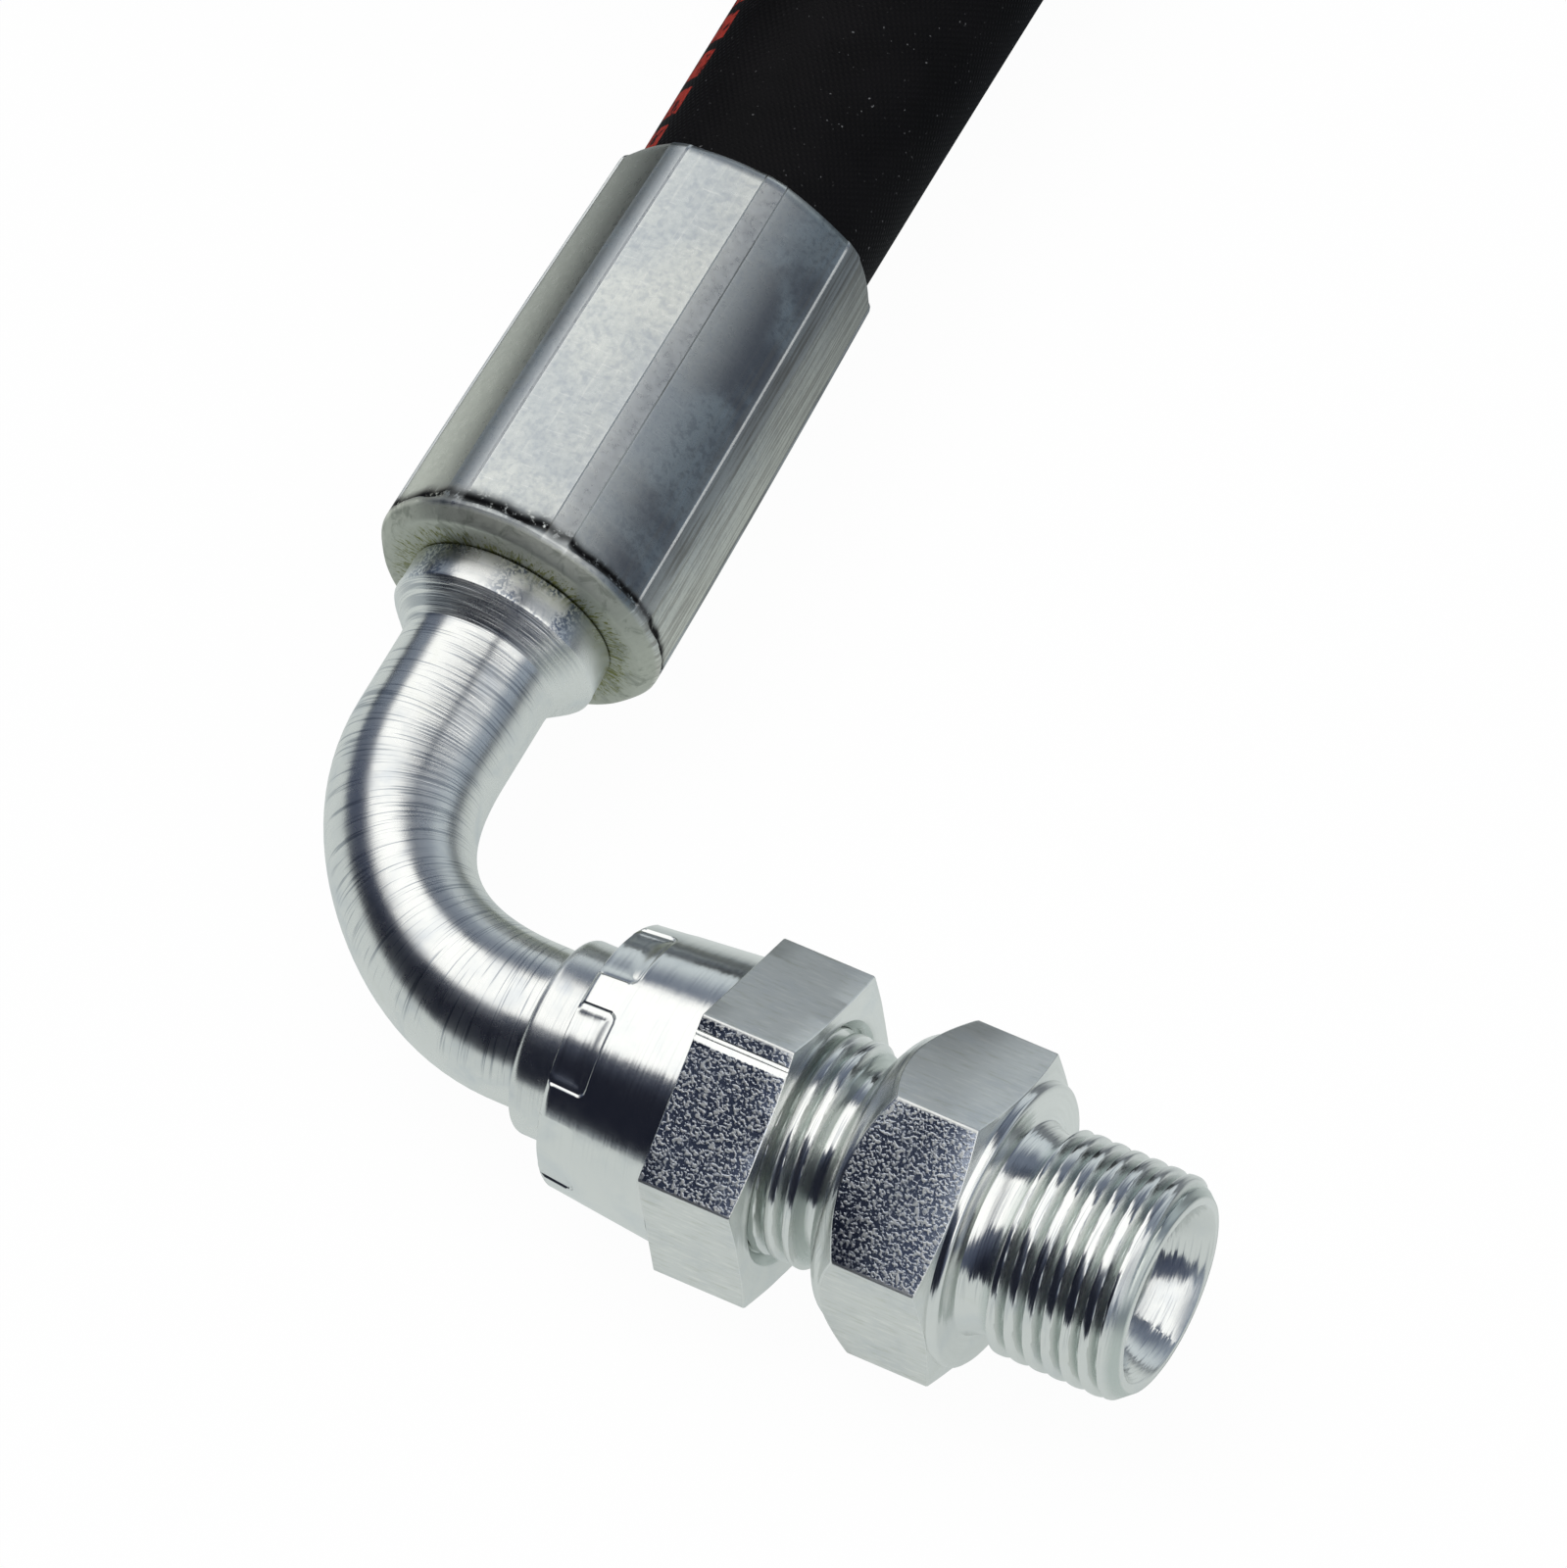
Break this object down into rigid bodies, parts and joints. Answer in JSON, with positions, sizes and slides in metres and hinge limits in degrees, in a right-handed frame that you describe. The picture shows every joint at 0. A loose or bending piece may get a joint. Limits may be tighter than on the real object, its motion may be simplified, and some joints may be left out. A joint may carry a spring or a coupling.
{
  "type": "hydraulic hose assembly",
  "caption": "Steel-braided hydraulic hose with a crimped elbow fitting, a swivel nut and a double-ended threaded adapter, the rest of the hose coiled and tied.",
  "frame": {"origin": "on the axis of the adapter's outer thread, at the end of its last full turn", "axes": "+X out of the adapter's outer thread, +Y along the hose as it leaves the elbow's ferrule, +Z normal to the elbow's plane; the assembly lies on a surface 15.6 mm below the origin"},
  "size_m": [0.3442, 0.3754, 0.052],
  "materials": {
    "zinc_plate": "bright zinc plate, turned and brushed",
    "ferrule_zinc": "duller blotchy zinc plate",
    "cover_rubber": "matt, fabric-wrapped impression",
    "liner_rubber": "smooth",
    "wire_braid": "brass-coated steel wire",
    "tie_nylon": "moulded nylon"
  },
  "bodies": {
    "hose_and_stems": {"elbow_stem": "zinc_plate", "ferrule": "ferrule_zinc", "near_inner_tube": "liner_rubber", "near_inner_braid": "wire_braid", "near_braid_interlayer": "liner_rubber", "near_outer_braid": "wire_braid", "near_hose_cover": "cover_rubber", "hose_run": "cover_rubber", "hose_coil": "cover_rubber", "hose_tail": "cover_rubber", "coil_tie": "tie_nylon", "far_stem": "zinc_plate", "far_ferrule": "ferrule_zinc", "far_inner_tube": "liner_rubber", "far_inner_braid": "wire_braid", "far_braid_interlayer": "liner_rubber", "far_outer_braid": "wire_braid", "far_hose_cover": "cover_rubber"},
    "swivel_nut": {"swivel_nut": "zinc_plate"},
    "port_adapter": {"port_adapter": "zinc_plate"},
    "far_swivel_nut": {"far_swivel_nut": "zinc_plate"}
  },
  "joints": [
    {"name": "nut_spin", "type": "hinge", "parent": "hose_and_stems", "child": "swivel_nut", "pos_m": [-0.045, 0, 0], "axis": [-1, 0, 0], "range_deg": [-720, 1800]},
    {"name": "adapter_travel", "type": "slide", "parent": "hose_and_stems", "child": "port_adapter", "axis": [1, 0, 0], "range_m": [-0.0036, 0.009]},
    {"name": "far_nut_spin", "type": "hinge", "parent": "hose_and_stems", "child": "far_swivel_nut", "pos_m": [-0.14307, 0.34446, 0.0225], "axis": [-0.5736, 0.8192, 0], "continuous": true}
  ],
  "couplings": [
    {"joint": "nut_spin", "follows": "adapter_travel", "rad_per_m": 3463.1}
  ]
}
